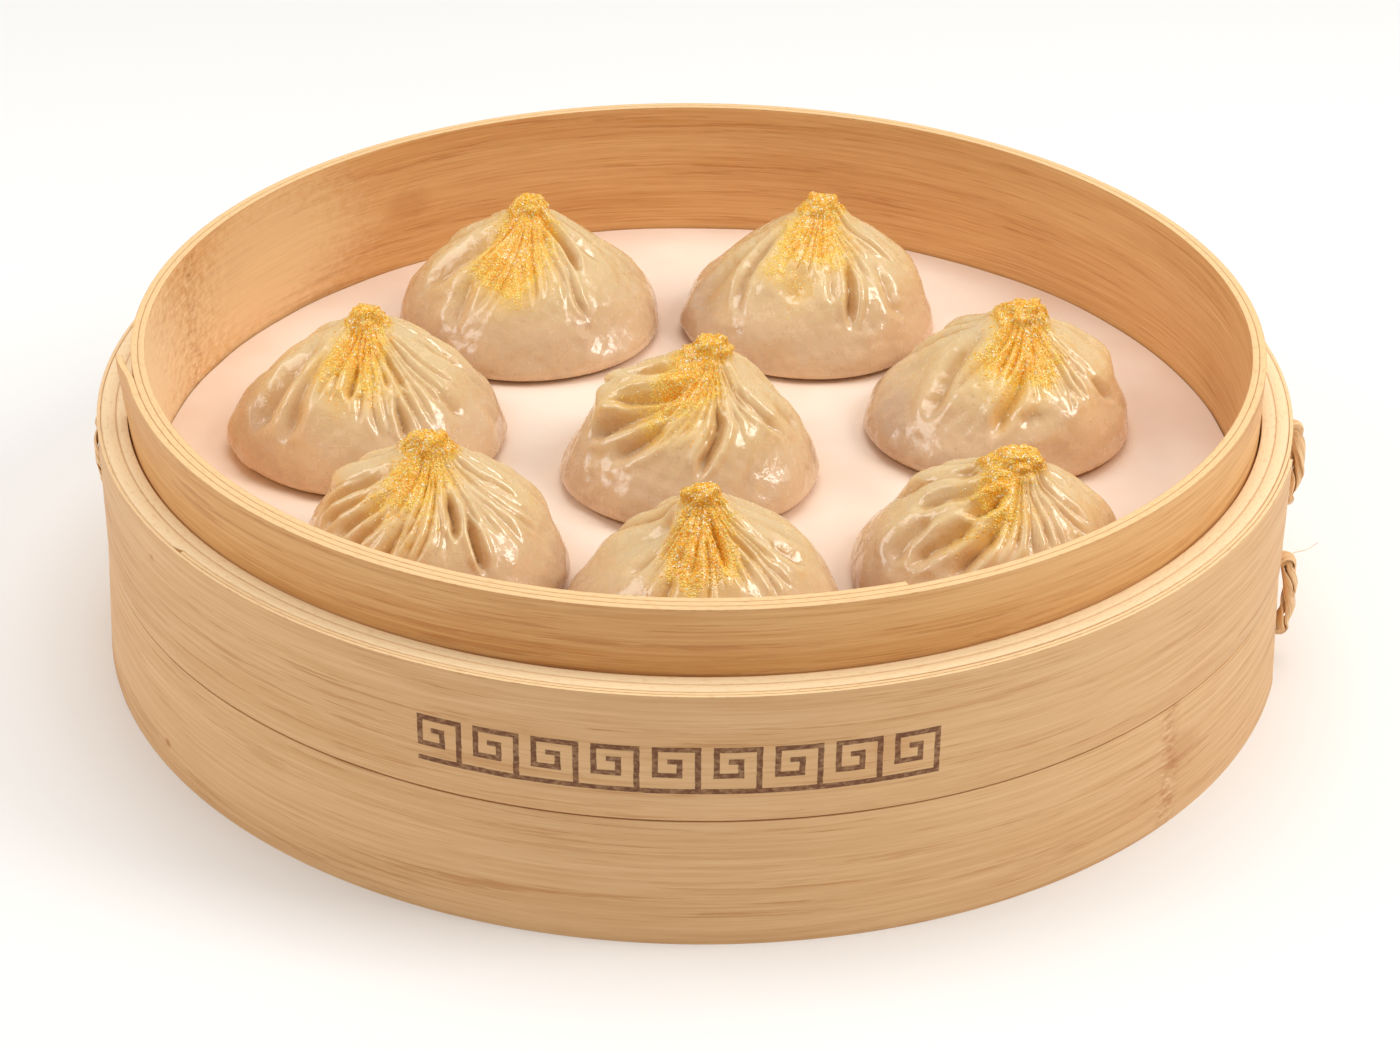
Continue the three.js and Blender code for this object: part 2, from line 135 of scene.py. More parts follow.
# Each dumpling: place of its middle in millimetres, width, height, lean of the knot, pleats round the
# back, the bearing where they crowd, swirl and depth. Its bulges: bearing, share of the height, spread in
# degrees and in height, millimetres. Its folds: half width and depth in millimetres, then heights and
# bearings down the crease. Its fine pleats: how many, between which bearings, how far they reach down, and
# their slant at both ends. Its knot: width and depth. Its gold: bearing, spread in degrees, lowest height.
DUMPLINGS = [
    dict(x=-34.3, y=52, wide=1.02, tall=1.02, lean=(0, 0), pleats=18, crowd=262, swirl=0.55, deep=1,
         bulges=[(182, 0.28, 32, 0.22, 2.4), (32, 0.62, 35, 0.2, -2.8)],
         folds=[(1.6, 2.4, (0.9, 312), (0.75, 317), (0.6, 313)),
                (1.2, 1.2, (0.66, 305), (0.5, 301), (0.36, 304)),
                (4.6, 2.2, (0.84, 216), (0.68, 206), (0.55, 200), (0.4, 196)),
                (3.4, 1.1, (0.62, 228), (0.45, 230), (0.28, 232)), (2, 0.9, (0.8, 334), (0.58, 341))],
         fine=[(9, 226, 304, 0.42, 40, -5)],
         knot=(0.92, 0.85), gold=(252, 62, 0.42)),
    dict(x=22.7, y=53.4, wide=0.995, tall=1.02, lean=(2.4, 0.6), pleats=15, crowd=270, swirl=0.4,
         deep=0.75,
         bulges=[(8, 0.5, 35, 0.2, 1.8), (150, 0.6, 40, 0.2, -1.5), (312, 0.33, 18, 0.12, 1),
                 (238, 0.3, 20, 0.12, 0.8)],
         folds=[(2.2, 1.5, (0.78, 204), (0.6, 213), (0.48, 218), (0.34, 231)),
                (1.7, 2.3, (0.7, 299), (0.6, 296), (0.45, 291.5), (0.34, 290)),
                (1.5, 1.1, (0.84, 299), (0.68, 305), (0.58, 303)), (2, 0.9, (0.7, 281), (0.48, 280)),
                (5, 1.1, (0.68, 256), (0.48, 255)), (5, 1.2, (0.62, 190), (0.4, 192), (0.22, 196)),
                (2.4, 1, (0.6, 322), (0.42, 318), (0.3, 325))],
         fine=[(5, 240, 280, 0.62, 40, 10), (6, 286, 338, 0.52, 0, -40)],
         knot=(1.12, 0.8), gold=(262, 62, 0.5)),
    dict(x=-62.4, y=3.4, wide=1.01, tall=0.98, lean=(-0.2, -1.5), pleats=18, crowd=285, swirl=0.4, deep=1,
         bulges=[(188, 0.2, 35, 0.2, 2), (8, 0.45, 40, 0.3, -1.2)],
         folds=[(4.6, 2.4, (0.72, 200), (0.58, 205), (0.42, 208), (0.26, 213)),
                (3.2, 1.8, (0.76, 221), (0.5, 227), (0.3, 232)),
                (1.6, 2.4, (0.76, 263), (0.66, 261), (0.58, 261)),
                (1.2, 1.3, (0.8, 285), (0.72, 289), (0.62, 290)),
                (1.5, 1.7, (0.8, 297), (0.68, 301), (0.6, 303)),
                (1.5, 1.4, (0.57, 292), (0.45, 293), (0.34, 293)),
                (2.6, 1.4, (0.74, 2), (0.55, 8), (0.42, 8)), (2.4, 1, (0.56, 322), (0.36, 330))],
         fine=[(4, 230, 258, 0.58, 30, 10), (8, 268, 334, 0.42, 5, -30)],
         knot=(0.95, 0.8), gold=(262, 60, 0.52)),
    dict(x=-1.4, y=-9.4, wide=0.955, tall=1, lean=(4.2, -1.2), pleats=16, crowd=235, swirl=0.6, deep=1.25,
         bulges=[(178, 0.66, 28, 0.14, 5), (8, 0.65, 35, 0.18, -2.2)],
         folds=[(2.2, 2.4, (0.82, 200), (0.76, 180), (0.68, 163)),
                (2.6, 3, (0.77, 246), (0.71, 225), (0.67, 210), (0.61, 194)),
                (3.2, 3, (0.72, 242), (0.62, 222), (0.53, 209), (0.44, 202), (0.36, 199)),
                (2.6, 2, (0.62, 246), (0.5, 236), (0.42, 228), (0.34, 224)),
                (1.7, 2.6, (0.72, 283), (0.62, 285), (0.55, 281), (0.45, 275), (0.34, 272)),
                (1.6, 1.2, (0.8, 305), (0.7, 315), (0.58, 323), (0.46, 331)),
                (3, 0.9, (0.6, 345), (0.4, 350))],
         fine=[(6, 243, 276, 0.46, 90, 50), (4, 291, 313, 0.5, 0, -20)],
         knot=(1.05, 0.85), gold=(240, 66, 0.5)),
    dict(x=58.2, y=10.4, wide=1, tall=0.96, lean=(4.3, -2), pleats=17, crowd=300, swirl=0.5, deep=1,
         bulges=[(183, 0.5, 40, 0.2, -3), (20, 0.55, 30, 0.2, 1.6), (281, 0.43, 13, 0.05, -0.9),
                 (285, 0.32, 20, 0.07, 0.7)],
         folds=[(3.6, 1.8, (0.76, 207), (0.62, 212), (0.5, 220), (0.33, 227)),
                (2.4, 2.2, (0.72, 277), (0.6, 271), (0.47, 265), (0.34, 261)),
                (2.2, 1.1, (0.78, 240), (0.62, 231), (0.5, 228)),
                (1.6, 1.1, (0.57, 331), (0.45, 338), (0.34, 346))],
         fine=[(3, 236, 262, 0.6, 60, 40), (12, 275, 332, 0.47, 10, -30)],
         knot=(1.3, 1.1), gold=(272, 64, 0.46)),
    dict(x=-47.6, y=-48.6, wide=0.955, tall=0.97, lean=(1.2, 0.8), pleats=18, crowd=270, swirl=0.5,
         deep=1.15,
         bulges=[(160, 0.65, 25, 0.16, 2.4)],
         folds=[(1.4, 2.3, (0.74, 293), (0.65, 293), (0.55, 290.5)),
                (1.4, 2.2, (0.66, 305), (0.56, 303), (0.36, 303)),
                (2.6, 2, (0.78, 198), (0.66, 188), (0.55, 182), (0.42, 180)),
                (2.2, 1.8, (0.72, 230), (0.58, 217), (0.45, 211)),
                (2.2, 1.6, (0.7, 209), (0.56, 198), (0.44, 194)),
                (1.7, 1.5, (0.66, 239), (0.54, 230), (0.44, 227)),
                (1.6, 1.5, (0.66, 257), (0.5, 250), (0.4, 247))],
         fine=[(5, 260, 288, 0.4, 50, 25), (6, 309, 352, 0.42, -20, -45), (2, 241, 250, 0.5, 40, 40)],
         knot=(1.15, 0.95), gold=(248, 56, 0.52)),
    dict(x=2.6, y=-63.8, wide=0.95, tall=0.98, lean=(-1.3, -2.2), pleats=16, crowd=270, swirl=0.35,
         deep=0.9,
         bulges=[(185, 0.66, 40, 0.13, -6), (188, 0.47, 30, 0.12, -1.5), (20, 0.75, 30, 0.12, -2)],
         folds=[(1.4, 2.2, (0.86, 283), (0.75, 287), (0.64, 286)),
                (1.4, 1.5, (0.84, 303), (0.72, 311), (0.62, 313)), (2.2, 1, (0.66, 214), (0.5, 212)),
                (2, 1.1, (0.6, 246), (0.46, 244)), (2.4, 1.2, (0.7, 340), (0.5, 346))],
         fine=[(7, 216, 280, 0.5, 40, 0), (6, 292, 336, 0.5, 0, -30)],
         knot=(0.95, 0.75), gold=(262, 66, 0.48)),
    dict(x=52.8, y=-48.6, wide=0.965, tall=0.97, lean=(3.4, -3), pleats=16, crowd=320, swirl=0.6,
         deep=1.1,
         bulges=[(158, 0.72, 28, 0.14, 3.2)],
         folds=[(2, 2.8, (0.8, 252), (0.73, 238), (0.69, 224)),
                (2.2, 2.2, (0.7, 263), (0.58, 252), (0.5, 246), (0.4, 242)),
                (2.8, 2.4, (0.7, 240), (0.56, 226), (0.47, 221), (0.36, 219)),
                (4.2, 1.9, (0.62, 205), (0.45, 205), (0.32, 208)),
                (2.2, 1.5, (0.82, 220), (0.7, 196), (0.58, 188)),
                (2.2, 1.5, (0.86, 190), (0.78, 166), (0.68, 154))],
         fine=[(4, 262, 282, 0.48, 60, 30), (6, 288, 334, 0.5, 0, -35)],
         knot=(1.35, 1), gold=(246, 60, 0.56)),
]
for number, dumpling in enumerate(DUMPLINGS, 1):
    dumpling["seed"] = number

# Gold dust: where it begins on the bare side, how far it thickens over, and where the knot is covered
GOLD_START = 0.84
GOLD_FADE = 0.38
GILT_KNOT = (0.82, 0.92)

# Gold leaf: flakes on each dumpling, their sizes, tilt, lift off the skin, and rise as a share of the size
FLAKES_EACH = 1800
FLAKE_SIZES = (0.12 * MM, 0.36 * MM)
FLAKE_TILT = 0.22
FLAKE_LIFT = 0.12 * MM
FLAKE_RISE = 0.28

# The photograph's viewpoint: distance from the foot of the tier's middle, rise, and small turns in degrees
CAMERA_DISTANCE = 621.3 * MM
CAMERA_RISE = 31.01
CAMERA_YAW, CAMERA_PITCH, CAMERA_ROLL = 0.09, 1.22, 0.62
CAMERA_LENS = 80.59


# Pieces, and how they are worked

def nothing_selected():
    bpy.ops.object.select_all(action="DESELECT")


def only(piece):
    nothing_selected()
    piece.select_set(True)
    bpy.context.view_layer.objects.active = piece


def added(name, data):
    piece = bpy.data.objects.new(name, data)
    bpy.context.scene.collection.objects.link(piece)
    return piece


def started(name):
    piece = bpy.context.object
    piece.name = piece.data.name = name
    return piece


def worked(piece, kind, **settings):
    only(piece)
    modifier = piece.modifiers.new(kind, kind)
    for key, value in settings.items():
        setattr(modifier, key, value)
    bpy.ops.object.modifier_apply(modifier=modifier.name)


def points(piece):
    flat = np.empty(3 * len(piece.data.vertices))
    piece.data.vertices.foreach_get("co", flat)
    return flat.reshape(-1, 3)


def put(piece, places):
    piece.data.vertices.foreach_set("co", np.ascontiguousarray(places, dtype=np.float32).ravel())
    piece.data.update()


def directions(piece):
    flat = np.empty(3 * len(piece.data.vertices))
    piece.data.vertices.foreach_get("normal", flat)
    return flat.reshape(-1, 3)


def painted(piece, name, values):
    kind = "FLOAT" if np.ndim(values) == 1 else "FLOAT_VECTOR"
    layer = piece.data.attributes.new(name, kind, "POINT")
    layer.data.foreach_set("value" if kind == "FLOAT" else "vector", np.asarray(values, np.float32).ravel())


def turned_out(piece):
    only(piece)
    bpy.ops.object.mode_set(mode="EDIT")
    bpy.ops.mesh.select_all(action="SELECT")
    bpy.ops.mesh.normals_make_consistent(inside=False)
    bpy.ops.object.mode_set(mode="OBJECT")


def finished(piece, material, slot, *nodes, crease=25):
    only(piece)
    piece.data.materials.clear()
    piece.data.materials.append(material)
    bpy.ops.object.shade_smooth_by_angle(angle=math.radians(crease))
    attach(piece, "root")
    if nodes:
        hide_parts(*nodes)


def smooth(low, high, value):
    share = np.clip((value - low) / (high - low), 0, 1)
    return share * share * (3 - 2 * share)


def between(stops, share):
    """A smooth line through the stops, at shares from 0 to 1 of their number."""
    stops = np.asarray(stops, float)
    ends = np.vstack([2 * stops[0] - stops[1], stops, 2 * stops[-1] - stops[-2]])
    at = np.clip(np.asarray(share) * (len(stops) - 1), 0, len(stops) - 1 - 1e-9)
    first = at.astype(int)
    t = (at - first)[:, None]
    a, b, c, d = (ends[first + k] for k in range(4))
    return b + 0.5 * t * (c - a + t * (2 * a - 5 * b + 4 * c - d + t * (3 * (b - c) + d - a)))


def ripple(place, size, seed, waves=14):
    """A smooth uneven field over the places, mostly from -1 to 1, with lumps of about this size."""
    draws = np.random.default_rng(seed)
    field = np.zeros(len(place))
    for _ in range(waves):
        way = draws.normal(size=place.shape[1])
        way *= TURN / (size * draws.uniform(1.2, 3) * np.linalg.norm(way))
        field += np.cos(place @ way + draws.uniform(0, TURN))
    return field * math.sqrt(1 / waves)


# Bamboo strips: cut flat, with their edges rounded, and then wound

def cut_strip(name, length, bottom, top, thickness, step=STRIP_STEP, row=3 * MM, edge=0.06 * MM):
    nothing_selected()
    bpy.ops.mesh.primitive_grid_add(
        x_subdivisions=round(length / step), y_subdivisions=max(3, round((top - bottom) / row)), size=1,
        location=(length / 2, (bottom + top) / 2, 0))
    strip = started(name)
    strip.scale = (length, top - bottom, 1)
    bpy.ops.object.transform_apply(location=True, rotation=True, scale=True)
    worked(strip, "SOLIDIFY", thickness=thickness, offset=1)
    width = min(edge, 0.4 * thickness)
    worked(strip, "BEVEL", width=width, segments=2, limit_method="ANGLE", angle_limit=1)
    return strip


def wind(strip, way, press):
    """Winds a flat strip round the tier's middle, from its outer end inwards, and keeps its grain."""
    along, up, through = points(strip).T
    painted(strip, "grain", np.column_stack([along, up, through]))
    turned = 360 * way["turns"] * along / along.max()
    bearing = np.radians(way["end"] + way["turning"] * turned)
    radius = way["outer"] - (way["thickness"] + way["gap"]) * turned / 360 - way["thickness"] + through
    radius = radius + press(turned, up, bearing)
    east, north = MIDDLE.x + radius * np.cos(bearing), MIDDLE.y + radius * np.sin(bearing)
    put(strip, np.column_stack([east, north, up]))
    turned_out(strip)


def strip_length(way):
    return TURN * way["turns"] * way["outer"]


def uneven_wall(seed, depth):
    """Slow dents of a bent strip, the same through its thickness."""
    def press(turned, up, bearing):
        place = np.column_stack([np.cos(bearing) * 100 * MM, np.sin(bearing) * 100 * MM, 0.5 * up])
        return depth * ripple(place, 45 * MM, seed)
    return press


def inner_hoop():
    strip = cut_strip("hoop_of_the_rim", strip_length(HOOP), HOOP_FOOT, RIM, HOOP["thickness"])
    along, up, through = points(strip).T
    left = np.minimum(along.max() - along, END_CORNER)
    drop = END_CORNER - np.sqrt(np.clip(END_CORNER ** 2 - (END_CORNER - left) ** 2, 0, None))
    above = up - RIM + CORNER_REACH
    up = np.where(up > RIM - CORNER_REACH, up - drop * above / CORNER_REACH, up)
    put(strip, np.column_stack([along, up, through]))
    dents = uneven_wall(3, 0.04 * MM)

    def press(turned, up, bearing):
        sprung = SPRUNG * (1 - smooth(0, SPRUNG_OVER, turned)) * smooth(LEDGE - 4 * MM, RIM, up)
        return sprung + dents(turned, up, bearing)
    wind(strip, HOOP, press)
    scars = [(along_of(HOOP, 166, 1), 1), (along_of(HOOP, 110), 0.6)]
    # The stains: dark marks, and two broad pale patches on the inner face at the left that are partly
    # bleached wood and partly painted light falling on that wall
    stains = [
        (along_of(HOOP, 127, 1), 46 * MM, 8 * MM, 0.3), (along_of(HOOP, 354, 1), 45 * MM, 4 * MM, 0.4),
        (along_of(HOOP, 195, 2), 38 * MM, 75 * MM, -1), (along_of(HOOP, 150, 1), 46 * MM, 40 * MM, -0.45),
    ]
    shade = bamboo("rim_bamboo", HOOP, RIM, RIM_TONE, scars, stains, end_grain=True)
    finished(strip, shade, "bamboo_inside", "inner_hoop")


def wound_surface(way, bearing, inside):
    """Radius of a wound strip's outer face, or of the inner face of its innermost layer."""
    turned = np.degrees(way["turning"] * (bearing - math.radians(way["end"]))) % 360
    if inside:
        turned = turned + 360 * np.floor((360 * way["turns"] - turned) / 360)
    radius = way["outer"] - (way["thickness"] + way["gap"]) * turned / 360
    return radius - way["thickness"] * inside


def lath(name, shade, way, node, inner_room, outer_room):
    """A ring of one turn, whose two faces move in and out by their rooms at each bearing."""
    dents = uneven_wall(5, 0.05 * MM)

    def press(turned, up, bearing):
        move = share * outer_room(bearing) - (1 - share) * inner_room(bearing)
        return move + dents(turned, up, bearing)
    strip = cut_strip(name, strip_length(way), 0, LEDGE, way["thickness"], row=LATH_ROW, edge=LATH_EDGE)
    share = np.round(points(strip)[:, 2] / way["thickness"])
    wind(strip, way, press)
    finished(strip, bamboo(shade, way, LEDGE, LATH_TONE, end_grain=True), "bamboo", node)


def laths():
    def to_bands(bearing):
        return wound_surface(BAND, bearing, True) - BAND_ROOM - OUTER_LATH["outer"]

    def to_hoop(bearing):
        return inner_face - wound_surface(HOOP, bearing, False) - HOOP_ROOM
    inner_face = INNER_LATH["outer"] - INNER_LATH["thickness"]
    beside = OUTER_LATH["outer"] - OUTER_LATH["thickness"] - LATH_ROOM - INNER_LATH["outer"]
    lath("lath_at_the_bands", "outer_lath_bamboo", OUTER_LATH, "lath_outer", lambda _: 0, to_bands)
    lath("lath_at_the_rim", "inner_lath_bamboo", INNER_LATH, "lath_inner", to_hoop, lambda _: beside)


def drilled(strip, bottom, top):
    """Bores the lashings' holes that lie between these heights through the band."""
    for _, bearing, upper, lower, _, reach in LASHINGS:
        for height in (upper * MM, lower * MM):
            if not bottom < height < top:
                continue
            nothing_selected()
            way = math.radians(bearing)
            place = (MIDDLE.x + reach * MM * math.cos(way), MIDDLE.y + reach * MM * math.sin(way), height)
            bpy.ops.mesh.primitive_cylinder_add(
                vertices=20, radius=HOLE_RADIUS, depth=DRILL_LENGTH, location=place,
                rotation=(0, math.pi / 2, way))
            drill = started("drill")
            worked(strip, "BOOLEAN", object=drill, operation="DIFFERENCE", solver="EXACT")
            bpy.data.objects.remove(drill)


def bands():
    upper = cut_strip("upper_band_strip", strip_length(BAND), BAND_FOOT, LEDGE, BAND["thickness"])
    wind(upper, BAND, uneven_wall(11, 0.05 * MM))
    drilled(upper, BAND_FOOT, LEDGE)
    scars = [(along_of(BAND, 75), 0.8)]
    stains = [(along_of(BAND, 286.5), 36 * MM, 6 * MM, 0.3),
              (along_of(BAND, 212.7), 42.4 * MM, 1.3 * MM, 0.5)]
    shade = bamboo("upper_band_bamboo", BAND, LEDGE, BAND_TONE, scars, stains, end_grain=True, fret=True)
    finished(upper, shade, "bamboo", "upper_band")
    lower = cut_strip("lower_band_strip", strip_length(BAND), 0, SEAM, BAND["thickness"])
    dents = uneven_wall(14, 0.05 * MM)

    def press(turned, up, bearing):
        return BAND_FLARE * (1 - up / SEAM) + dents(turned, up, bearing)
    wind(lower, BAND, press)
    drilled(lower, 0, SEAM)
    scars = [(along_of(BAND, 317), 0.8), (along_of(BAND, 110), 0.8)]
    stains = [(along_of(BAND, 213.9), 5.3 * MM, 1.7 * MM, 0.8), (along_of(BAND, 319), 14 * MM, 8 * MM, 0.3)]
    shade = bamboo("lower_band_bamboo", BAND, SEAM, BAND_TONE, scars, stains)
    finished(lower, shade, "bamboo", "lower_band")


# The floor under the liner: copies of its own solids with rounded edges

def softened(node, edge=0.35 * MM):
    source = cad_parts[node]
    piece = source.copy()
    piece.data = source.data.copy()
    piece.parent = None
    for key in list(piece.keys()):
        del piece[key]
    bpy.context.scene.collection.objects.link(piece)
    piece.name = piece.data.name = node + "_bamboo"
    only(piece)
    bpy.ops.object.mode_set(mode="EDIT")
    bpy.ops.mesh.select_all(action="SELECT")
    bpy.ops.mesh.remove_doubles(threshold=0.01 * MM)
    bpy.ops.mesh.dissolve_limited(angle_limit=math.radians(1))
    bpy.ops.object.mode_set(mode="OBJECT")
    worked(piece, "BEVEL", width=edge, segments=2, limit_method="ANGLE", angle_limit=math.radians(40))
    return piece


def floor_pieces():
    """Slats, ribs and ring, each with its own stretch of grain."""
    for i in range(SLATS):
        node = f"slat_{i + 1:02d}"
        piece = softened(node)
        painted(piece, "grain", points(piece) + (0.7 * i, 0, 0))
        finished(piece, FLOOR_BAMBOO, "bamboo_inside", node)
    for i in range(RIBS):
        node = f"rib_{i + 1}"
        piece = softened(node, edge=0.25 * MM)
        painted(piece, "grain", points(piece)[:, [1, 0, 2]] + (0.9 * i, 0, 0))
        finished(piece, FLOOR_BAMBOO, "bamboo_inside", node)
    piece = softened("floor_ring", edge=0.5 * MM)
    x, y, z = (points(piece) - MIDDLE).T
    painted(piece, "grain", np.column_stack([np.arctan2(y, x) * FLOOR_RING_RADIUS, z, np.hypot(x, y)]))
    finished(piece, FLOOR_BAMBOO, "bamboo_inside", "floor_ring")


def paper_liner():
    nothing_selected()
    bpy.ops.mesh.primitive_grid_add(x_subdivisions=150, y_subdivisions=150, size=2)
    paper = started("steaming_paper")
    x, y, _ = points(paper).T
    east, north = x * np.sqrt(1 - y * y / 2), y * np.sqrt(1 - x * x / 2)
    out = np.hypot(east, north)
    bearing = np.arctan2(north, east)
    ring = np.column_stack([np.cos(bearing), np.sin(bearing)])
    wall = wound_surface(HOOP, bearing, True) - PAPER_EDGE_ROOM - 0.15 * MM * ripple(ring, 0.35, 21)
    radius = LINER_RADIUS + (wall - LINER_RADIUS) * smooth(0.7, 1, out)
    flat = np.column_stack([east, north]) * LINER_RADIUS
    cockle = PAPER_COCKLES * ripple(flat, 22 * MM, 22) * smooth(0.55, 1, out)
    cockle += EDGE_COCKLES * ripple(ring, 0.2, 23) * smooth(0.93, 1, out)
    low = LINER_FOOT + 0.05 * MM
    put(paper, np.column_stack([MIDDLE.x + east * radius, MIDDLE.y + north * radius, low + np.abs(cockle)]))
    worked(paper, "SOLIDIFY", thickness=PAPER_THICKNESS, offset=1)
    painted(paper, "grain", points(paper))
    finished(paper, liner_paper(), "paper", "paper_liner")


# Lashings: narrow strips of split cane twisted round each other between two holes

def lashing_line(upper, lower, bow, reach):
    """The middle of a rope from hole to hole, at bearing 0; all but its result is in millimetres."""
    inside, out, bowed = reach - 1.4, reach + 0.7, reach + bow - 1
    stops = [(inside, 0.03), (out, 0), (bowed - 0.7, 0.12), (bowed, 0.32), (bowed + 0.1, 0.52),
             (bowed, 0.7), (bowed - 0.7, 0.88), (out, 1), (inside, 0.97)]
    return [(radius * MM, 0, (upper - share * (upper - lower)) * MM) for radius, share in stops]


def laid(strip, line, bearing, offset, phase, twists, crown):
    """Lays a narrow strip along a line, wound round it, and turns it to its bearing on the band."""
    along, up, through = points(strip).T
    painted(strip, "grain", np.column_stack([along, up, through]) + (3 * phase, 0, 0))
    share = along / along.max()
    centre = between(line, share)
    ahead = between(line, np.minimum(share + 0.01, 1)) - between(line, np.maximum(share - 0.01, 0))
    ahead /= np.linalg.norm(ahead, axis=1)[:, None]
    side = np.array([0, 1, 0]) * np.ones_like(ahead)
    proud = np.cross(side, ahead)
    turn = phase + TURN * twists * share
    outward = np.cos(turn)[:, None] * side + np.sin(turn)[:, None] * proud
    across = np.cross(ahead, outward)
    half = np.abs(up).max()
    swell = 1 - 0.25 * np.cos(2 * turn)
    bulge = through + crown * (1 - (up / half) ** 2)
    place = centre + outward * (offset + bulge)[:, None] + across * (up * swell)[:, None]
    way = math.radians(bearing)
    x, y = place[:, 0], place[:, 1]
    place = np.column_stack([
        MIDDLE.x + x * math.cos(way) - y * math.sin(way),
        MIDDLE.y + x * math.sin(way) + y * math.cos(way),
        place[:, 2]])
    put(strip, place)
    turned_out(strip)


def joined(pieces, name):
    nothing_selected()
    for piece in pieces:
        piece.select_set(True)
    bpy.context.view_layer.objects.active = pieces[0]
    bpy.ops.object.join()
    return started(name)


def cut_fibre(length):
    return cut_strip("fibre", length, -FIBRE_HALF, FIBRE_HALF, FIBRE_THICKNESS, step=0.4 * MM,
                     row=FIBRE_HALF, edge=0.03 * MM)


def lashings():
    for number, (node, bearing, upper, lower, bow, reach) in enumerate(LASHINGS):
        line = lashing_line(upper, lower, bow, reach)
        length = (upper - lower + 2 * bow + 6) * MM
        strands = []
        for k, half in enumerate(STRANDS):
            strand = cut_strip("strand", length, -half, half, 0.4 * MM, step=0.4 * MM, row=0.35 * MM,
                               edge=0.1 * MM)
            phase = TURN * k / len(STRANDS) + 2.1 * number
            laid(strand, line, bearing, 0.45 * MM, phase, 0.9 + 0.12 * k, 0.5 * MM)
            strands.append(strand)
        for k in range(FIBRES):
            fibre = cut_fibre(length)
            laid(fibre, line, bearing, 1.3 * MM, TURN * k / FIBRES + 2.3 * number, 0.8 + 0.12 * k, 0)
            strands.append(fibre)
        if node == "lashing_right_lower":
            stray = [((reach + out) * MM, along * MM, (upper + rise) * MM)
                     for out, along, rise in ((0, 0, 0), (1.5, 1, 1), (4, 3.2, 0.9), (6, 5, 1.6))]
            fibre = cut_fibre(8 * MM)
            laid(fibre, stray, bearing, 0.1 * MM, 0, 0.5, 0)
            strands.append(fibre)
        finished(joined(strands, node + "_cane"), CANE, "cane", node)


# Dumplings

def draw(seed, stream, n):
    """A number from 0 to 1 that is always the same for the same three, as in the solids."""
    wave = math.sin(seed * 12.9898 + (100 * STREAM[stream] + n) * 78.233) * 43758.5453
    return wave - math.floor(wave)


def creases(dumpling):
    """Bearings of the creases between the back pleats, all the way round from the crowded side."""
    seed, pleats = dumpling["seed"], dumpling["pleats"]
    widths = []
    for k in range(pleats):
        crowding = PLEAT_CROWDING * math.cos(TURN * k / pleats)
        widths.append((0.6 + 0.8 * draw(seed, "width", k)) * (1 - crowding))
    widths = np.array(widths) * TURN / sum(widths)
    first = math.radians(dumpling["crowd"]) - widths[0] / 2
    return first + np.concatenate([[0], np.cumsum(widths)])


def pleat_share(height, foot, run=PLEAT_RUN):
    return smooth(foot, foot + run, height) * (1 - PLEAT_FADE * smooth(0.6, 0.92, height))


def back_pleats(dumpling, bearing, height):
    """How far the pleats round the back stand out, and where each point is: 0 in a crease, 1 on a ridge."""
    seed, pleats = dumpling["seed"], dumpling["pleats"]
    edges = creases(dumpling)
    turn = (bearing - edges[0]) % TURN
    k = np.clip(np.searchsorted(edges - edges[0], turn, side="right") - 1, 0, pleats - 1)
    across = (turn - (edges[k] - edges[0])) / (edges[k + 1] - edges[k])
    columns = np.arange(2 * pleats + 1) % (2 * pleats)
    foot = np.array([PLEAT_FOOT + 0.2 * draw(seed, "foot", c) for c in columns])
    deepest = PLEAT_DEPTH * dumpling["deep"]
    deep = np.array([deepest * (0.6 + 0.8 * draw(seed, "depth", c)) for c in columns])
    lean = 0.65 + 0.5 * np.array([draw(seed, "tip", c) for c in columns])
    ridge = np.sin(math.pi * across ** lean[2 * k + 1]) ** 0.6
    crease_deep = deep[2 * k] * (1 - across) + deep[2 * k + 2] * across
    crease_foot = foot[2 * k] * (1 - across) + foot[2 * k + 2] * across
    fold = RIDGE_SHARE * deep[2 * k + 1] * pleat_share(height, foot[2 * k + 1], 0.22) * ridge
    fold -= (1 - RIDGE_SHARE) * crease_deep * pleat_share(height, crease_foot) * (1 - ridge)
    return fold, ridge


def front_folds(dumpling):
    """The creases that are seen: half width, depth, and heights and bearings down each of them."""
    draws = np.random.default_rng(90 + dumpling["seed"])
    for half, deep, *line in dumpling["folds"]:
        yield half * MM, deep * MM, line
    for count, start, stop, foot, slant, last in dumpling["fine"]:
        for k in range(count):
            share = (k + draws.uniform(-0.28, 0.28)) / (count - 1)
            at, tilt = start + share * (stop - start), slant + share * (last - slant)
            low = foot + draws.uniform(-0.05, 0.13)
            waver = draws.uniform(-3, 3, 4)
            heights = np.linspace(0.9, low, 4)
            line = [(h, at + tilt * (h - FINE_SLANT_LEVEL) + w) for h, w in zip(heights, waver)]
            yield draws.uniform(0.9, 1.5) * MM, draws.uniform(0.55, 1.15) * MM, line


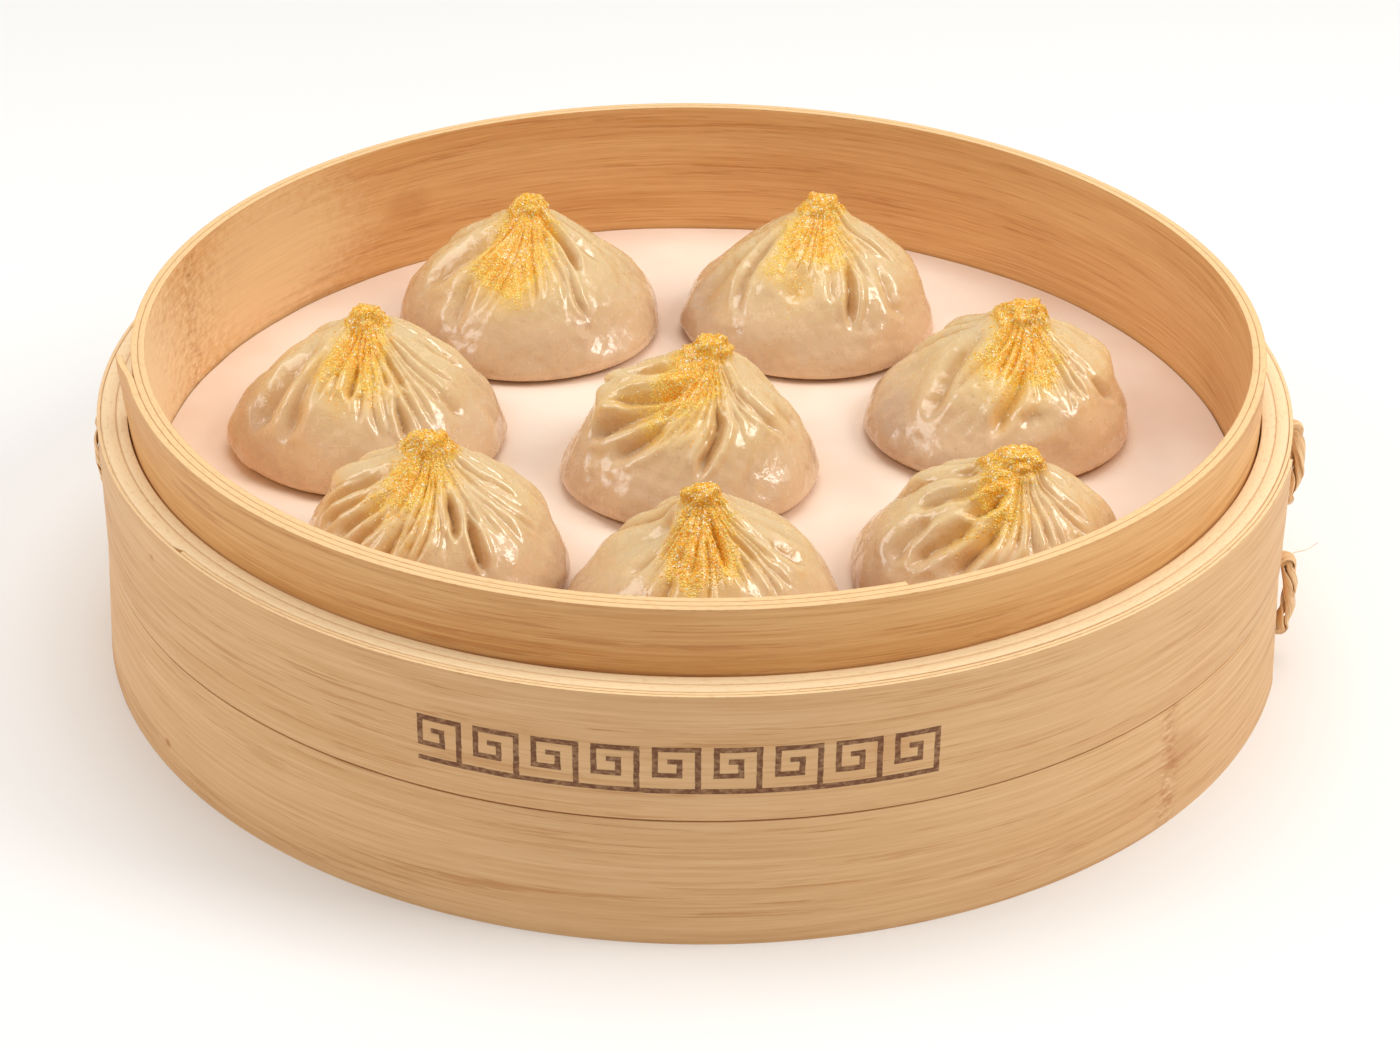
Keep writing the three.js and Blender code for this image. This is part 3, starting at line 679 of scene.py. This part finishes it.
def creased(dumpling, place, base):
    """How far the seen creases draw the skin in, and how far the soft lips beside them stand out."""
    drawn, lips = np.zeros(len(place)), np.zeros(len(place))
    for half, deep, line in front_folds(dumpling):
        heights, bearings = np.array(line)[::-1].T
        steps = np.linspace(heights[0], heights[-1], CREASE_STEPS + 1)
        stops = base(np.radians(np.interp(steps, heights, bearings)), steps)
        nearest, along = np.full(len(place), 1.0), np.zeros(len(place))
        for k in range(CREASE_STEPS):
            way = stops[k + 1] - stops[k]
            t = np.clip((place - stops[k]) @ way / (way @ way), 0, 1)
            away = np.linalg.norm(place - stops[k] - t[:, None] * way, axis=1)
            along = np.where(away < nearest, (k + t) / CREASE_STEPS, along)
            nearest = np.minimum(nearest, away)
        fade = smooth(-0.05, 0.3, along) * (1 - 0.6 * smooth(0.75, 1, along))
        out = nearest / (half * (0.55 + 0.45 * fade))
        drawn = np.maximum(drawn, deep * fade * np.clip(1 - out, 0, 1) ** 1.5)
        lips = np.maximum(lips, LIP_SHARE * deep * fade * np.exp(-((out - 1.2) / 0.5) ** 2))
    return drawn, lips


def bulging(dumpling, bearing, height):
    total = 0
    for middle, level, spread, rise, size in dumpling["bulges"]:
        beside = 2 * (np.cos(bearing - math.radians(middle)) - 1) / math.radians(spread) ** 2
        total = total + size * MM * np.exp(beside - ((height - level) / rise) ** 2)
    return total


def lumps(dumpling, bearing, height):
    total = 0
    for waves, size, twist in LUMPS:
        phase = TURN * draw(dumpling["seed"], "lump", waves)
        total = total + size * np.cos(waves * bearing + phase + twist * height)
    return total


def outline():
    """The way along from the middle of the foot to the dimple, and shares of radius and height there."""
    curve = between(OUTLINE, np.linspace(0, 1, 400))
    line = np.vstack([[(0, 0), (0.5, 0)], curve, [(0.05, 0.995), (0, TIP_DIMPLE)]])
    steps = np.hypot(*(np.diff(line, axis=0) * (SKIN_RADIUS, SKIN_HEIGHT)).T)
    pace = np.where(line[1:, 1] == 0, 0.25, np.where(line[1:, 1] > 0.8, 1.7, 1))
    measure = np.concatenate([[0], np.cumsum(steps * pace)])
    return measure / measure[-1], line[:, 0], line[:, 1]


def dough_ball():
    nothing_selected()
    bpy.ops.mesh.primitive_uv_sphere_add(segments=AROUND, ring_count=UPWARDS, radius=1)
    return started("dough_ball")


def dumpling_skin(dumpling, ball):
    seed, tall = dumpling["seed"], SKIN_HEIGHT * dumpling["tall"]
    skin = ball.copy()
    skin.data = ball.data.copy()
    skin.name = skin.data.name = f"dumpling_skin_{seed}"
    bpy.context.scene.collection.objects.link(skin)
    measure, shares, heights = outline()
    sphere = points(skin)
    at = np.arccos(np.clip(-sphere[:, 2], -1, 1)) / math.pi
    share, height = np.interp(at, measure, shares), np.interp(at, measure, heights)
    bearing = np.arctan2(sphere[:, 1], sphere[:, 0])

    def base(bearing, height, share=None, fold=0):
        if share is None:
            share = np.interp(height, heights[2:-2], shares[2:-2])
        leaned = height ** 1.4
        knot = smooth(0.8, 0.93, height)
        out = SKIN_RADIUS * dumpling["wide"] * share + fold
        out = out + smooth(0, 0.1, share) * bulging(dumpling, bearing, height)
        x = out * np.cos(bearing) * (1 + knot * (dumpling["knot"][0] - 1))
        y = out * np.sin(bearing) * (1 + knot * (dumpling["knot"][1] - 1))
        x = x + (dumpling["x"] + dumpling["lean"][0] * leaned) * MM + MIDDLE.x
        y = y + (dumpling["y"] + dumpling["lean"][1] * leaned) * MM + MIDDLE.y
        return np.column_stack([x, y, DUMPLING_FOOT + tall * height])

    turned = bearing + dumpling["swirl"] * smooth(0.25, 1, height) ** 1.3
    sheet = np.column_stack([np.cos(turned), np.sin(turned), 1.5 * height])
    closed = smooth(0, 0.1, share)
    behind = smooth(-0.15, 0.3, np.sin(turned))
    fold, back_ridge = back_pleats(dumpling, bearing + 0.05 * ripple(sheet, 0.5, 30 + seed), height)
    smoothed = base(turned, height, share)
    drawn, lips = creased(dumpling, smoothed, base)
    ridge = np.where(behind > 0.5, back_ridge, np.clip(1 - 1.2 * drawn / MM + 0.5 * lips / MM, 0, 1))
    rounding = SKIN_RADIUS * share * lumps(dumpling, bearing, height) * (0.25 + 0.75 * behind)
    place = base(turned, height, share, closed * (fold * behind + rounding))
    put(skin, place)
    way = directions(skin)
    above = smooth(0.02, 0.08, height) * closed
    relief = (lips - drawn) * (1 - behind)
    relief += SKIN_DENTS * ripple(place, 7 * MM, 40 + seed) * (1 - 0.6 * smooth(0.4, 0.7, height))
    relief += SKIN_GRAIN * ripple(place, 1.8 * MM, 50 + seed, 24)
    relief += KNOT_CRUMPLE * ripple(place, 1.5 * MM, 60 + seed, 24) * smooth(0.82, 0.93, height)
    put(skin, place + way * (relief * above)[:, None])
    middle, spread, lowest = dumpling["gold"]
    facing = np.exp(2 * (np.cos(turned - math.radians(middle)) - 1) / math.radians(spread) ** 2)
    start = GOLD_START - (0.92 - lowest) * facing + 0.05 * ripple(place, 5 * MM, 70 + seed)
    gold = np.maximum(np.clip((height - start) / GOLD_FADE, 0, 1), 0.9 * smooth(*GILT_KNOT, height))
    painted(skin, "gold", gold)
    painted(skin, "ridge", ridge)
    painted(skin, "height", height)
    painted(skin, "grain", points(skin) - np.array([dumpling["x"] * MM, dumpling["y"] * MM, 0]))
    finished(skin, DOUGH, "skin", f"dumpling_{seed}", crease=70)
    return points(skin), directions(skin), gold, share * SKIN_RADIUS


def gold_flakes(skins):
    """Crumpled flakes of leaf, four faces each, thickest on the knots and the pleats below them."""
    draws = np.random.default_rng(8)
    corners, leaf = [], []
    for place, way, gold, radius in skins:
        weight = gold ** 1.5 * np.clip(radius, 2 * MM, None)
        for spot in draws.choice(len(place), FLAKES_EACH, p=weight / weight.sum()):
            size = draws.uniform(*FLAKE_SIZES) * (0.6 + 0.4 * gold[spot])
            normal = way[spot] + FLAKE_TILT * draws.normal(size=3)
            normal /= np.linalg.norm(normal)
            side = np.cross(normal, draws.normal(size=3))
            side /= np.linalg.norm(side)
            other = np.cross(normal, side)
            middle = place[spot] + way[spot] * draws.uniform(0, FLAKE_LIFT)
            for angle in draws.uniform(-0.4, 0.4, 3) + (0, TURN / 3, 2 * TURN / 3):
                reach = size * draws.uniform(0.6, 1.3)
                corners.append(middle + reach * (math.cos(angle) * side + math.sin(angle) * other))
            corners.append(middle + normal * size * FLAKE_RISE)
            leaf.append(draws.uniform())
    count = len(leaf)
    faces = []
    for n in range(0, 4 * count, 4):
        faces += [(n, n + 2, n + 1), (n, n + 1, n + 3), (n + 1, n + 2, n + 3), (n + 2, n, n + 3)]
    mesh = bpy.data.meshes.new("gold_leaf")
    mesh.from_pydata([tuple(c) for c in corners], [], faces)
    flakes = added("gold_leaf", mesh)
    painted(flakes, "leaf", np.repeat(leaf, 4))
    finished(flakes, GOLD, "gold", crease=10)


def dumplings():
    ball = dough_ball()
    gold_flakes([dumpling_skin(dumpling, ball) for dumpling in DUMPLINGS])
    bpy.data.objects.remove(ball)


# Finishes

class Value:
    """A number socket in a finish, for writing sums."""

    def __init__(self, finish, socket):
        self.finish, self.socket = finish, socket

    def _do(self, operation, *values):
        return self.finish.add("Math", {"operation": operation}, dict(enumerate(values)))

    def _operator(operation):
        return lambda self, other: self._do(operation, self, other)

    __add__ = __radd__ = _operator("ADD")
    __mul__ = __rmul__ = _operator("MULTIPLY")
    __sub__ = _operator("SUBTRACT")
    __truediv__ = _operator("DIVIDE")
    __pow__ = _operator("POWER")
    __gt__ = _operator("GREATER_THAN")
    __lt__ = _operator("LESS_THAN")
    __mod__ = _operator("FLOORED_MODULO")
    most = _operator("MAXIMUM")

    def __rsub__(self, other):
        return self._do("SUBTRACT", other, self)

    def __abs__(self):
        return self._do("ABSOLUTE", self)

    def smooth(self, low, high):
        """0 below low, 1 above high; the other way round when low is above high."""
        if low > high:
            return 1 - self.smooth(high, low)
        settings = {"interpolation_type": "SMOOTHSTEP"}
        return self.finish.add("MapRange", settings, {"Value": self, "From Min": low, "From Max": high})


class Finish:
    """A material under construction."""

    def __init__(self, name):
        self.material = bpy.data.materials.new(name)
        self.material.use_nodes = True
        self.tree = self.material.node_tree
        self.tree.nodes.clear()

    def add(self, kind, settings, sockets, output=0):
        node = self.tree.nodes.new("ShaderNode" + kind)
        for key, value in settings.items():
            setattr(node, key, value)
        for key, value in sockets.items():
            if isinstance(value, Value):
                self.tree.links.new(value.socket, node.inputs[key])
            else:
                node.inputs[key].default_value = value
        return Value(self, node.outputs[output])

    def attribute(self, name, output="Fac"):
        return self.add("Attribute", {"attribute_name": name}, {}, output)

    def stretched(self, vector, scales):
        return self.add("VectorMath", {"operation": "MULTIPLY"}, {0: vector, 1: scales})

    def part(self, vector, axis):
        return self.add("SeparateXYZ", {}, {0: vector}, axis)

    def noise(self, vector, scales, detail=3, roughness=0.55, distortion=0):
        sockets = {"Vector": self.stretched(vector, scales), "Scale": 1, "Detail": detail,
                   "Roughness": roughness, "Distortion": distortion}
        return self.add("TexNoise", {}, sockets)

    def cells(self, vector, scale):
        return self.add("TexVoronoi", {"feature": "F1"}, {"Vector": vector, "Scale": scale}, "Distance")

    def mixed(self, first, second, share):
        return self.add("Mix", {"data_type": "RGBA"}, {0: share, 6: first, 7: second}, 2)

    def bumps(self, height, distance, strength=1):
        return self.add("Bump", {}, {"Height": height, "Distance": distance, "Strength": strength})

    def surface(self, sockets, over=None, share=None):
        """The finish of the sockets, and a second one in its place where the share is 1."""
        shader = self.add("BsdfPrincipled", {}, sockets)
        if over:
            second = self.add("BsdfPrincipled", {}, over)
            shader = self.add("MixShader", {}, {0: share, 1: shader, 2: second})
        out = self.tree.nodes.new("ShaderNodeOutputMaterial")
        self.tree.links.new(shader.socket, out.inputs["Surface"])
        return self.material


def colour(red, green, blue):
    """A colour given as it shows, 0 to 255, as the shader's own numbers."""
    shares = [value / 255 for value in (red, green, blue)]
    return (*[s / 12.92 if s <= 0.04045 else ((s + 0.055) / 1.055) ** 2.4 for s in shares], 1)


# Tones of the strips: pale, deep, streaks and end grain
RIM_TONE = (colour(234, 184, 122), colour(210, 148, 84), colour(188, 116, 54), colour(244, 204, 148))
LATH_TONE = (colour(246, 208, 156), colour(228, 178, 118), colour(212, 152, 90), colour(254, 228, 184))
BAND_TONE = (colour(233, 190, 138), colour(214, 163, 108), colour(190, 122, 62), colour(250, 218, 168))
FLOOR_TONE = (colour(228, 180, 120), colour(198, 142, 86), colour(180, 118, 66), colour(240, 200, 150))

# Paler wood for the pale stains: partly bleached, partly painted light
BLEACH_AND_PAINTED_LIGHT = colour(255, 224, 176)

# The burnt ornament on the upper band: a running key fret, in cells of a tenth of its pitch
FRET_FOOT = 29.5 * MM
FRET_PITCH = 10 * MM
FRET_COUNT = 9
FRET_START = 291
FRET_BARS = [(0, 10, 0, 1), (0, 1, 0, 9), (0, 8, 8, 9), (7, 8, 3, 9), (3, 8, 3, 4), (3, 4, 3, 6.5),
             (3, 5.5, 5.7, 6.7)]


def along_of(way, bearing, layer=0):
    """How far along a strip, from its outer end, a bearing lies in one of its layers."""
    turned = (way["turning"] * (bearing - way["end"])) % 360 + 360 * layer
    return strip_length(way) * turned / (360 * way["turns"])


def fret_mask(along, up):
    """1 on the bars of the fret."""
    start = along_of(BAND, FRET_START)
    cell = FRET_PITCH / 10
    x = ((along - start) % FRET_PITCH) / cell
    y = (up - FRET_FOOT) / cell
    mask = None
    for left, right, foot, top in FRET_BARS:
        bar = (x > left) * (x < right) * (y > foot) * (y < top)
        mask = bar if mask is None else mask.most(bar)
    return mask * (along > start) * (along < start + (FRET_COUNT - 0.2) * FRET_PITCH)


def bamboo(name, way, top, tone, scars=(), stains=(), end_grain=False, fret=False):
    """Split bamboo: long fibres and streaks, node scars across it, stains, and pale cut edges.

    A scar has a place along the strip and a strength. A stain has a place along, a height, a size and a
    strength, which is below 0 where the wood is made paler, in part bleached wood and in part painted
    light.
    """
    pale, deep, streak, cut = tone
    finish = Finish(name)
    grain = finish.attribute("grain", "Vector")
    along, up, through = (finish.part(grain, axis) for axis in "XYZ")
    broad = finish.noise(grain, (6, 110, 110), 3)
    fibres = finish.noise(grain, (26, 1300, 1300), 3, 0.6)
    fine = finish.noise(grain, (70, 3600, 3600), 2, 0.6)
    dashes = finish.noise(grain, (30, 900, 900), 4, 0.7, 0.1)
    body = (0.4 * broad + 0.4 * fibres + 0.35 * fine - 0.07).smooth(0.32, 0.7)
    shade = finish.mixed(pale, deep, body)
    lines = dashes.smooth(0.55, 0.64) * broad.smooth(0.3, 0.58)
    scratches = fine.smooth(0.6, 0.72) * dashes.smooth(0.48, 0.56)
    shade = finish.mixed(shade, streak, 0.5 * lines.most(1.1 * scratches))
    height = 0.5 * fibres + 0.5 * fine - 0.5 * lines
    torn = finish.noise(grain, (420, 600, 600), 4, 0.7)
    for at, strong in scars:
        away = abs(along - at + 0.006 * (finish.noise(grain, (0, 130, 0), 3) - 0.5))
        coarse = finish.noise(grain, (300, 900, 300), 3, 0.65)
        scar = away.smooth(4 * MM, 0.8 * MM)
        shade = finish.mixed(shade, streak, strong * scar * (0.2 + 0.6 * coarse.smooth(0.52, 0.62)))
        shade = finish.mixed(shade, cut, 0.6 * strong * scar * coarse.smooth(0.46, 0.36))
        height = height - 5 * strong * scar * coarse
    for at, level, size, strong in stains:
        away = ((along - at) ** 2 + ((up - level) * 1.6) ** 2) ** 0.5
        stain = (away / size + 0.9 * (torn - 0.5)).smooth(1, 0.35)
        # Below 0 the stain is paler: bleached wood with painted light over it
        shade = finish.mixed(shade, streak if strong > 0 else BLEACH_AND_PAINTED_LIGHT, abs(strong) * stain)
    if fret:
        char = finish.noise(grain, (900, 1500, 900), 3).smooth(0.28, 0.62)
        burnt = fret_mask(along + 0.0004 * (torn - 0.5), up + 0.0004 * (fine - 0.5)) * (0.6 + 0.35 * char)
        shade = finish.mixed(shade, colour(106, 54, 18), burnt)
        height = height - 0.7 * burnt
    if end_grain:
        edge = up.smooth(top - 0.3 * MM, top - 0.1 * MM)
        side = abs(through - way["thickness"] / 2).smooth(0.36 * way["thickness"], 0.5 * way["thickness"])
        dots = finish.noise(grain, (500, 1, 2200), 3).smooth(0.5, 0.72)
        shade = finish.mixed(shade, finish.mixed(cut, streak, 0.5 * side + 0.25 * dots), edge)
    rough = 0.46 + 0.2 * fibres
    normal = finish.bumps(height, 0.1 * MM, 0.8)
    return finish.surface({"Base Color": shade, "Roughness": rough, "Normal": normal,
                           "Specular IOR Level": 0.35, "Coat Weight": 0.08, "Coat Roughness": 0.4})


def cane():
    finish = Finish("dry_cane")
    grain = finish.attribute("grain", "Vector")
    fibres = finish.noise(grain, (150, 3500, 3500), 4, 0.65)
    shade = finish.mixed(colour(250, 210, 158), colour(192, 138, 88), fibres.smooth(0.44, 0.76))
    normal = finish.bumps(fibres, 0.12 * MM)
    return finish.surface({"Base Color": shade, "Roughness": 0.62, "Normal": normal})


def liner_paper():
    """Soft paper, glossier round each dumpling where it is damp, with a warmer, darker tint there that is
    partly soaked-in moisture and partly painted shadow.
    """
    finish = Finish("liner_paper")
    grain = finish.attribute("grain", "Vector")
    pulp = finish.noise(grain, (900, 900, 900), 4, 0.6)
    clouds = finish.noise(grain, (28, 28, 28), 3)
    flat = finish.stretched(grain, (1, 1, 0))
    damp_and_shadow = None
    for dumpling in DUMPLINGS:
        middle = (dumpling["x"] * MM + MIDDLE.x, dumpling["y"] * MM + MIDDLE.y, 0)
        away = finish.add("VectorMath", {"operation": "DISTANCE"}, {0: flat, 1: middle}, "Value")
        ring = away.smooth(SKIN_RADIUS + 5 * MM, SKIN_RADIUS - 2 * MM)
        damp_and_shadow = ring if damp_and_shadow is None else damp_and_shadow.most(ring)
    shade = finish.mixed(colour(251, 232, 214), colour(245, 217, 194), clouds.smooth(0.3, 0.7))
    # Painted shadow in part: the warm darker tint in a ring round each dumpling's foot, where its soft
    # shadow falls, over damp paper
    shade = finish.mixed(shade, colour(240, 204, 168), 0.35 * damp_and_shadow)
    normal = finish.bumps(pulp + 2 * clouds, 0.05 * MM, 0.5)
    return finish.surface({"Base Color": shade, "Roughness": 0.78 - 0.25 * damp_and_shadow, "Normal": normal})


# How far red, green and blue light travel inside the dough
GLOW = (3 * MM, 1.8 * MM, 1 * MM)


def dough():
    """Wet steamed skin: painted light on the ridges and painted shade in the creases, brown low down where
    the filling shows, gold dust on top.
    """
    finish = Finish("steamed_dough")
    grain = finish.attribute("grain", "Vector")
    gold, ridge, height = (finish.attribute(name) for name in ("gold", "ridge", "height"))
    clouds = finish.noise(grain, (70, 70, 70), 4, 0.6)
    specks = finish.noise(grain, (900, 900, 900), 3, 0.6)
    fine = finish.noise(grain, (420, 420, 420), 4, 0.6)
    pale = (height + 0.5 * clouds).smooth(0.35, 0.95)
    shade = finish.mixed(colour(222, 186, 146), colour(228, 196, 142), pale)
    filling = clouds.smooth(0.44, 0.62) * height.smooth(0.55, 0.25)
    shade = finish.mixed(shade, colour(192, 150, 120), 0.55 * filling)
    # Painted shade: darker brown-orange in the creases between the pleats, where shade falls
    shade = finish.mixed(shade, colour(206, 154, 92), 0.5 * (1 - ridge) ** 1.5 * height.smooth(0.2, 0.5))
    # Painted light: paler on the upper pleat ridges, where light catches them
    shade = finish.mixed(shade, colour(240, 214, 168), 0.35 * ridge * height.smooth(0.4, 0.7))
    shade = finish.mixed(shade, colour(178, 130, 92), 0.3 * specks.smooth(0.62, 0.72))
    patches = finish.noise(grain, (800, 800, 800), 3, 0.65)
    dust = (1.5 * gold + 1.5 * (patches - 0.5) - 0.6).smooth(0, 0.4)
    dots = finish.cells(grain, 2300).smooth(0.6, 0.25)
    shade = finish.mixed(shade, colour(246, 192, 66), (0.45 * gold.smooth(0, 0.6)).most(0.9 * dust))
    # Deep orange gold dust over the upper skin and knot, the dust's own colour, made stronger in the
    # creases than on the ridges: that difference is painted shade
    shade = finish.mixed(shade, colour(248, 160, 16), 0.85 * gold.smooth(0.55, 0.9) * (1 - ridge * 0.35))
    shade = finish.mixed(shade, colour(255, 230, 120), dust * dots)
    wet = finish.noise(grain, (330, 330, 330), 4, 0.7).smooth(0.4, 0.48)
    relief = 0.9 * fine + 0.4 * specks + 0.8 * dust * dots
    normal = finish.bumps(relief, 0.14 * MM, 0.85)
    gilt = {"Base Color": shade, "Roughness": 0.5 - 0.4 * wet, "Normal": normal, "Specular IOR Level": 0.85}
    skin = {**gilt, "Subsurface Weight": 0.28, "Subsurface Radius": GLOW, "Subsurface Scale": 1}
    return finish.surface(skin, gilt, gold.smooth(0.1, 0.4).most(dust))


def gold_leaf():
    finish = Finish("gold_leaf")
    leaf = finish.attribute("leaf")
    place = finish.add("TexCoord", {}, {}, "Object")
    crumple = finish.noise(place, (2500, 2500, 2500), 2)
    shade = finish.mixed(colour(255, 184, 30), colour(255, 222, 96), leaf.smooth(0.2, 0.8))
    # Painted glints: the palest flakes are near white, standing in for light catching the leaf
    shade = finish.mixed(shade, colour(255, 249, 214), leaf.smooth(0.8, 0.84))
    return finish.surface({"Base Color": shade, "Roughness": 0.3 + 0.25 * crumple,
                           "Specular IOR Level": 0.3})


# The studio: camera, light and floor

WARM_WHITE = (1, 0.98, 0.95)
SOFTBOXES = [
    ("right_softbox", (0.62, -0.12, 0.62), (0.3, 0.45), 3.1, WARM_WHITE),
    ("left_softbox", (-0.75, -0.05, 0.5), (0.5, 0.5), 2.2, WARM_WHITE),
    ("overhead_softbox", (0.05, 0.15, 1.0), (0.7, 0.6), 3.8, (1, 1, 1)),
]
LIT_POINT = Vector((0, 0, 0.03))
AIR_LIGHT = 0.45
FLOOR_SIZE = 6


def stand_camera():
    rise, yaw, pitch, roll = (
        math.radians(a) for a in (CAMERA_RISE, CAMERA_YAW, CAMERA_PITCH, CAMERA_ROLL))
    place = Vector((0, -math.cos(rise), math.sin(rise)))
    ahead, right = -place, Vector((1, 0, 0))
    up = right.cross(ahead)
    ahead, right = (ahead * math.cos(yaw) + right * math.sin(yaw),
                    right * math.cos(yaw) - ahead * math.sin(yaw))
    ahead, up = (ahead * math.cos(pitch) + up * math.sin(pitch),
                 up * math.cos(pitch) - ahead * math.sin(pitch))
    right, up = (right * math.cos(roll) + up * math.sin(roll),
                 up * math.cos(roll) - right * math.sin(roll))
    data = bpy.data.cameras.new("camera")
    data.sensor_width = 36
    data.lens = CAMERA_LENS
    data.clip_start, data.clip_end = 0.01, 50
    camera = added("camera", data)
    camera.matrix_world = (Matrix.Translation(place * CAMERA_DISTANCE + Vector((MIDDLE.x, MIDDLE.y, 0)))
                           @ Matrix((right, up, -ahead)).transposed().to_4x4())
    bpy.context.scene.camera = camera


def soft_light(name, place, size, power, tint):
    data = bpy.data.lights.new(name, "AREA")
    data.shape = "RECTANGLE"
    data.size, data.size_y = size
    data.energy = power
    data.color = tint
    lamp = added(name, data)
    lamp.location = place
    lamp.rotation_euler = (LIT_POINT - Vector(place)).to_track_quat("-Z", "Y").to_euler()


def studio():
    nothing_selected()
    bpy.ops.mesh.primitive_plane_add(size=FLOOR_SIZE)
    floor = started("studio_floor")
    finish = Finish("studio_floor")
    place = finish.add("TexCoord", {}, {}, "Object")
    clouds = finish.noise(place, (3, 3, 3), 2)
    shade = finish.mixed(colour(246, 245, 243), colour(250, 249, 247), clouds)
    floor.data.materials.append(finish.surface({"Base Color": shade, "Roughness": 0.9}))
    world = bpy.data.worlds.new("studio_air")
    bpy.context.scene.world = world
    world.use_nodes = True
    background = world.node_tree.nodes["Background"]
    background.inputs["Color"].default_value = (1, 1, 1, 1)
    background.inputs["Strength"].default_value = AIR_LIGHT
    for softbox in SOFTBOXES:
        soft_light(*softbox)
    bpy.context.scene.view_settings.view_transform = "Standard"


CANE = cane()
DOUGH = dough()
GOLD = gold_leaf()
FLOOR_SCARS = [(at, 0.7) for at in (0.06, 0.78, 1.43, 2.9, 4.27, 5.6)]
FLOOR_BAMBOO = bamboo("floor_bamboo", BAND, RIM, FLOOR_TONE, FLOOR_SCARS)

stand_camera()
inner_hoop()
laths()
bands()
floor_pieces()
paper_liner()
lashings()
dumplings()
studio()
